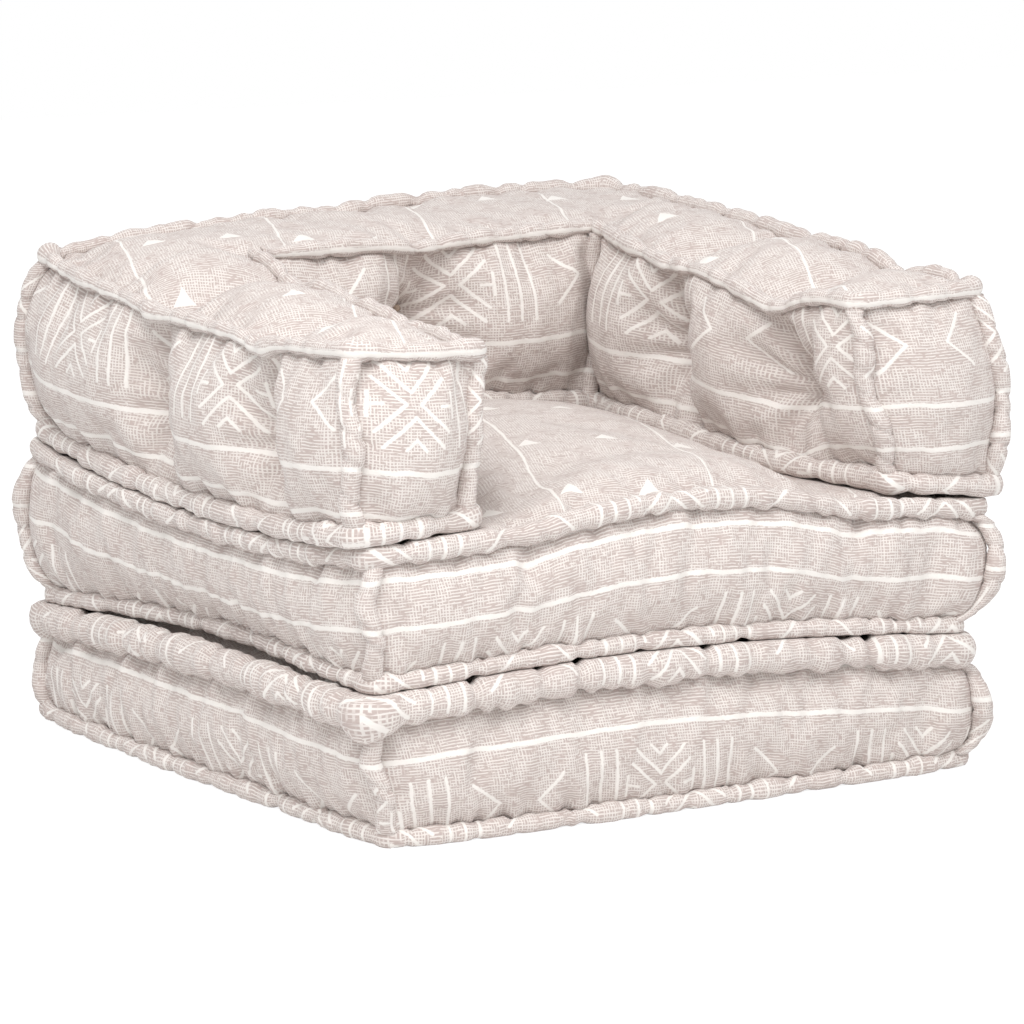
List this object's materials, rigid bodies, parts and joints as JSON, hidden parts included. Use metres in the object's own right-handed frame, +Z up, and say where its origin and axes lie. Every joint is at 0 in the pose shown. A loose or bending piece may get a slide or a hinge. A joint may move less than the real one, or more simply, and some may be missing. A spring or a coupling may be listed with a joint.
{
  "type": "modular pouf",
  "caption": "Low floor armchair of stacked cushions: a square base, a square seat and a U-shaped arm and back cushion, with rolled edges.",
  "frame": {"origin": "on the floor, in the middle of the footprint", "axes": "+Z up; the open front faces -Y; +X to the sitter's left as seen from the front right"},
  "size_m": [0.8001, 0.7941, 0.5701],
  "materials": {
    "printed_cotton": "pale taupe cotton with an off-white hatched print",
    "rolled_edge": "the same printed cotton, rolled and stitched",
    "filling": "loose unbleached filling",
    "twine": "waxed cotton twine"
  },
  "bodies": {
    "base": {"base_top_panel": "printed_cotton", "base_bottom_panel": "printed_cotton", "base_side_band": "printed_cotton", "base_top_roll": "rolled_edge", "base_bottom_roll": "rolled_edge", "base_corner_rolls": "rolled_edge", "base_filling": "filling"},
    "seat": {"seat_top_panel": "printed_cotton", "seat_bottom_panel": "printed_cotton", "seat_side_band": "printed_cotton", "seat_top_roll": "rolled_edge", "seat_bottom_roll": "rolled_edge", "seat_corner_rolls": "rolled_edge", "seat_filling": "filling"},
    "back": {"back_top_panel": "printed_cotton", "back_bottom_panel": "printed_cotton", "back_side_band": "printed_cotton", "back_top_roll": "rolled_edge", "back_bottom_roll": "rolled_edge", "back_corner_rolls": "rolled_edge", "back_filling": "filling", "back_tuft_ties": "twine"}
  },
  "joints": [
    {"name": "seat_lift", "type": "slide", "parent": "base", "child": "seat", "axis": [0, 0, 1], "range_m": [0, 0.3]},
    {"name": "back_lift", "type": "slide", "parent": "seat", "child": "back", "axis": [0, 0, 1], "range_m": [0, 0.3]}
  ]
}
